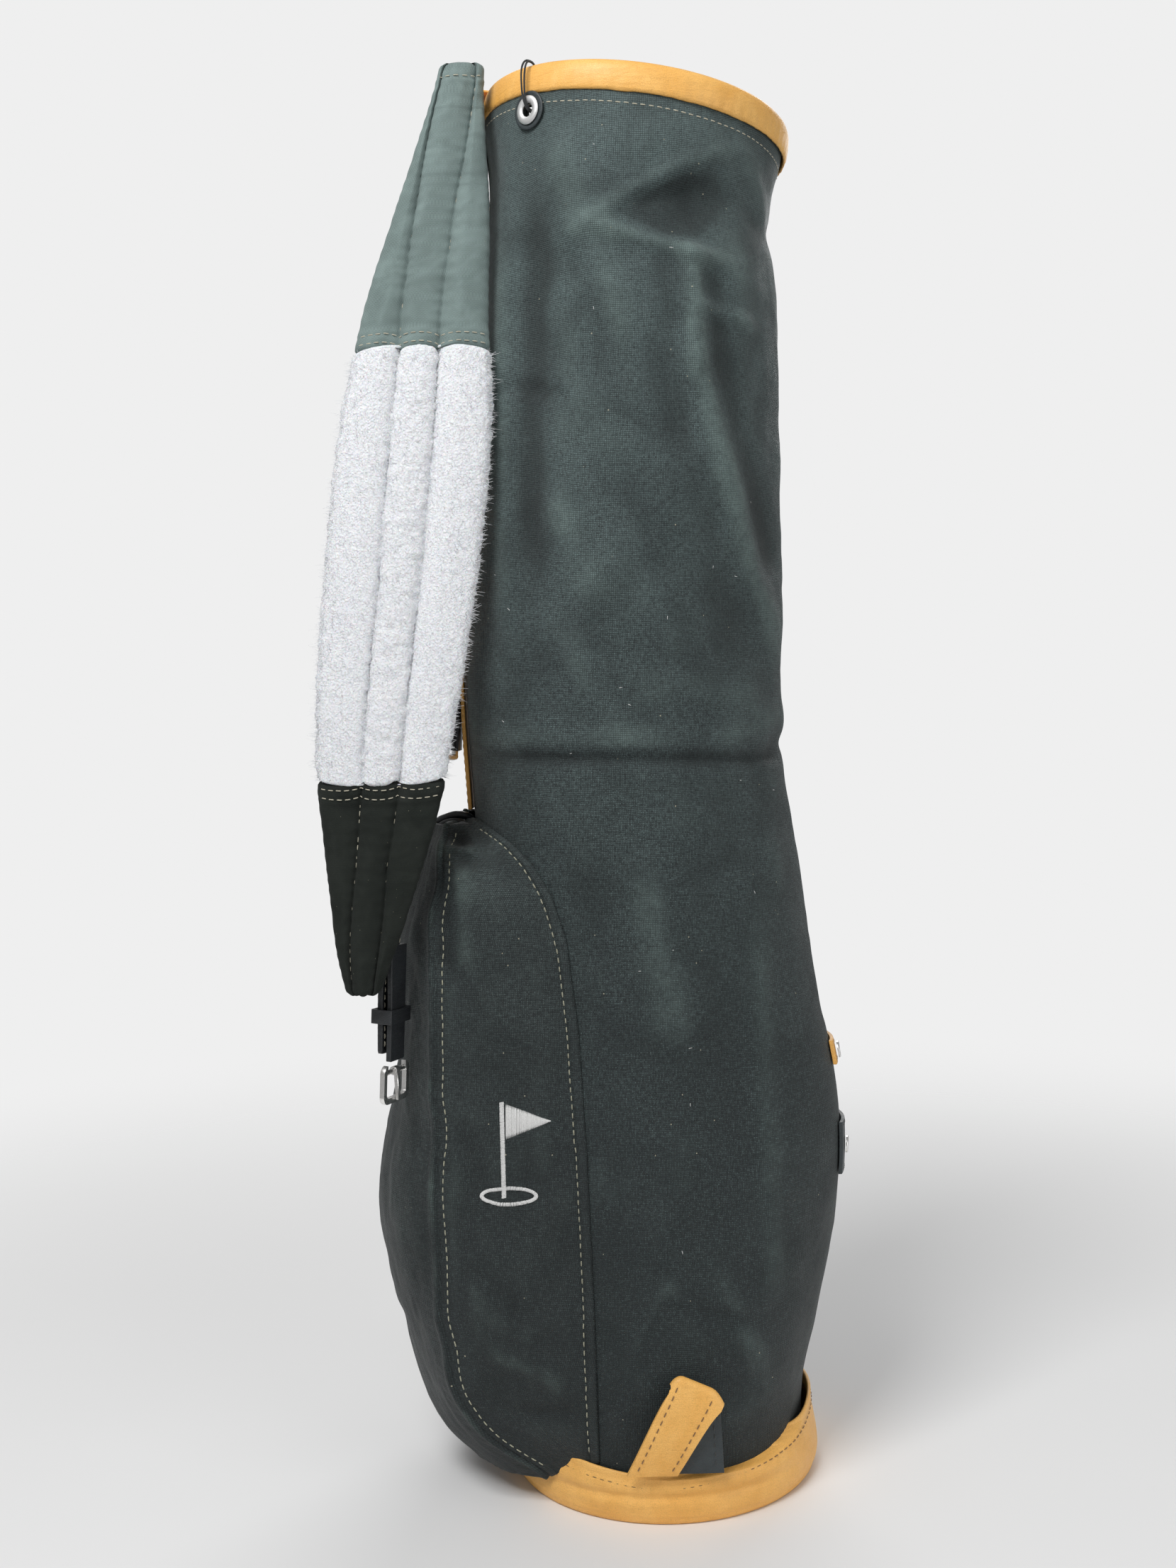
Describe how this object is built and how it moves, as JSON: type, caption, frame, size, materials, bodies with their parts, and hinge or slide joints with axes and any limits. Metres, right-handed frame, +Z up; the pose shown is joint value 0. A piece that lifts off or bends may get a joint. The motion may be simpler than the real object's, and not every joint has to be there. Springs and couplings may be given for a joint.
{
  "type": "golf carry bag",
  "caption": "Slim waxed-canvas golf carry bag with leather trim, spine pocket, padded shoulder strap and divided round mouth.",
  "frame": {"origin": "centre of the underside of the leather sole", "axes": "+Z up along the bag; -X towards the spine, pocket and shoulder strap; -Y towards the side that carries the strap at rest"},
  "size_m": [0.3359, 0.2093, 0.914],
  "materials": {
    "waxed_canvas": "waxed cotton canvas, matte with lighter scuffs",
    "lining": "plain woven lining",
    "tan_leather": "vegetable-tanned bridle leather, satin",
    "black_leather": "black bridle leather, satin",
    "nickel": "polished nickel",
    "plywood": "sanded plywood",
    "pad_cloth": "waxed canvas over foam",
    "fleece": "white shearling pile",
    "zip_cloth": "woven zip tape",
    "steel_hoop": "drawn steel wire",
    "cord": "waxed cord"
  },
  "bodies": {
    "bag": {"body_canvas": "waxed_canvas", "body_lining": "lining", "base_sole": "tan_leather", "base_board": "plywood", "boot": "tan_leather", "rim_hoop": "steel_hoop", "rim_binding": "tan_leather", "divider_bar": "tan_leather", "spine_strip": "tan_leather", "lower_anchor": "black_leather", "upper_anchor": "black_leather", "rim_tab": "tan_leather", "carry_handle": "tan_leather", "pocket_front": "waxed_canvas", "pocket_near_gusset": "waxed_canvas", "pocket_far_gusset": "waxed_canvas", "pocket_piping": "black_leather", "zip_tape": "zip_cloth", "zip_teeth": "nickel", "eyelet_patch": "waxed_canvas", "eyelet_ring": "nickel", "eyelet_loop": "cord", "keeper_anchor_upper": "tan_leather", "keeper_anchor_lower": "black_leather"},
    "shoulder_strap": {"lower_d_ring": "nickel", "upper_d_ring": "nickel", "strap_top_tab": "black_leather", "strap_pad_upper": "pad_cloth", "strap_pad_middle": "fleece", "strap_pad_lower": "pad_cloth", "adjuster_strap": "tan_leather", "end_tab": "black_leather", "keeper_loop": "black_leather", "buckle_frame": "nickel", "adjuster_rivets": "nickel"},
    "prong": {"buckle_prong": "nickel"},
    "slider": {"zip_slider": "nickel"},
    "pull": {"zip_pull": "tan_leather"},
    "foot_loop": {"foot_handle": "tan_leather", "foot_handle_back": "black_leather"},
    "keeper_upper": {"keeper_strap_upper": "tan_leather", "keeper_snap_upper": "nickel"},
    "keeper_lower": {"keeper_strap_lower": "black_leather", "keeper_snap_lower": "nickel"}
  },
  "joints": [
    {"name": "strap_swing", "type": "hinge", "parent": "bag", "child": "shoulder_strap", "pos_m": [-0.1295, 0, 0.491], "axis": [0.0484, 0, 0.9988], "range_deg": [-128, 0]},
    {"name": "buckle_prong_turn", "type": "hinge", "parent": "shoulder_strap", "child": "prong", "pos_m": [-0.16661, -0.07384, 0.27605], "axis": [-0.4059, -0.9137, 0.0197], "range_deg": [0, 110]},
    {"name": "zip_travel", "type": "slide", "parent": "bag", "child": "slider", "axis": [0, 0, -1], "range_m": [0, 0.235]},
    {"name": "zip_pull_flip", "type": "hinge", "parent": "slider", "child": "pull", "pos_m": [-0.12066, 0.08537, 0.323], "axis": [0.9976, 0.0688, 0], "range_deg": [0, 120]},
    {"name": "foot_handle_fold", "type": "hinge", "parent": "bag", "child": "foot_loop", "pos_m": [0.002, -0.104, 0.033], "axis": [1, 0, 0], "range_deg": [0, 75]},
    {"name": "keeper_upper_open", "type": "hinge", "parent": "bag", "child": "keeper_upper", "pos_m": [0.113, 0.03, 0.269], "axis": [-0.1628, 0, 0.9867], "range_deg": [0, 80]},
    {"name": "keeper_lower_open", "type": "hinge", "parent": "bag", "child": "keeper_lower", "pos_m": [0.11705, 0.03, 0.207], "axis": [0.0291, 0, 0.9996], "range_deg": [0, 80]}
  ]
}
